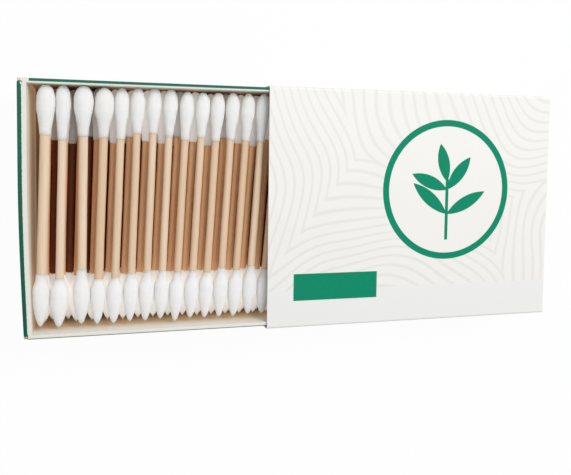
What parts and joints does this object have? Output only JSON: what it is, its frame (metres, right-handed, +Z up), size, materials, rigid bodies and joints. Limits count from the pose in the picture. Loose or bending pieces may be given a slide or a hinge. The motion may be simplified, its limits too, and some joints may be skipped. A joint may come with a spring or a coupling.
{
  "type": "cotton swab slide box",
  "caption": "Slide box of cotton swabs: a printed card sleeve and a pulled-out card tray that holds layers of bamboo swabs with a round and a pointed cotton tip.",
  "frame": {"origin": "centre of the sleeve's underside", "axes": "+X along the slide, the way the tray closes; +Y towards the round tips; +Z up, out of the printed panel"},
  "size_m": [0.1822, 0.08, 0.03],
  "materials": {
    "printed_card": "satin",
    "plain_card": "matte",
    "green_ink": "satin",
    "bamboo": "matte",
    "cotton": "matte"
  },
  "bodies": {
    "sleeve": {"sleeve": "printed_card", "sleeve_print": "green_ink"},
    "tray": {"tray": "plain_card", "tray_print": "green_ink", "swab_01_stick": "bamboo", "swab_02_stick": "bamboo", "swab_03_stick": "bamboo", "swab_04_stick": "bamboo", "swab_05_stick": "bamboo", "swab_06_stick": "bamboo", "swab_07_stick": "bamboo", "swab_08_stick": "bamboo", "swab_09_stick": "bamboo", "swab_10_stick": "bamboo", "swab_11_stick": "bamboo", "swab_12_stick": "bamboo", "swab_13_stick": "bamboo", "swab_14_stick": "bamboo", "packed_sticks": "bamboo", "swab_01_round_tip": "cotton", "swab_02_round_tip": "cotton", "swab_03_round_tip": "cotton", "swab_04_round_tip": "cotton", "swab_05_round_tip": "cotton", "swab_06_round_tip": "cotton", "swab_07_round_tip": "cotton", "swab_08_round_tip": "cotton", "swab_09_round_tip": "cotton", "swab_10_round_tip": "cotton", "swab_11_round_tip": "cotton", "swab_12_round_tip": "cotton", "swab_13_round_tip": "cotton", "swab_14_round_tip": "cotton", "layer_1_round_tips": "cotton", "layer_2_round_tips": "cotton", "layer_3_round_tips": "cotton", "layer_4_round_tips": "cotton", "layer_5_round_tips": "cotton", "layer_6_round_tips": "cotton", "swab_01_pointed_tip": "cotton", "swab_02_pointed_tip": "cotton", "swab_03_pointed_tip": "cotton", "swab_04_pointed_tip": "cotton", "swab_05_pointed_tip": "cotton", "swab_06_pointed_tip": "cotton", "swab_07_pointed_tip": "cotton", "swab_08_pointed_tip": "cotton", "swab_09_pointed_tip": "cotton", "swab_10_pointed_tip": "cotton", "swab_11_pointed_tip": "cotton", "swab_12_pointed_tip": "cotton", "swab_13_pointed_tip": "cotton", "swab_14_pointed_tip": "cotton", "layer_1_pointed_tips": "cotton", "layer_2_pointed_tips": "cotton", "layer_3_pointed_tips": "cotton", "layer_4_pointed_tips": "cotton", "layer_5_pointed_tips": "cotton", "layer_6_pointed_tips": "cotton"}
  },
  "joints": [
    {"name": "tray_slide", "type": "slide", "parent": "sleeve", "child": "tray", "axis": [1, 0, 0], "range_m": [-0.0301, 0.076]}
  ]
}
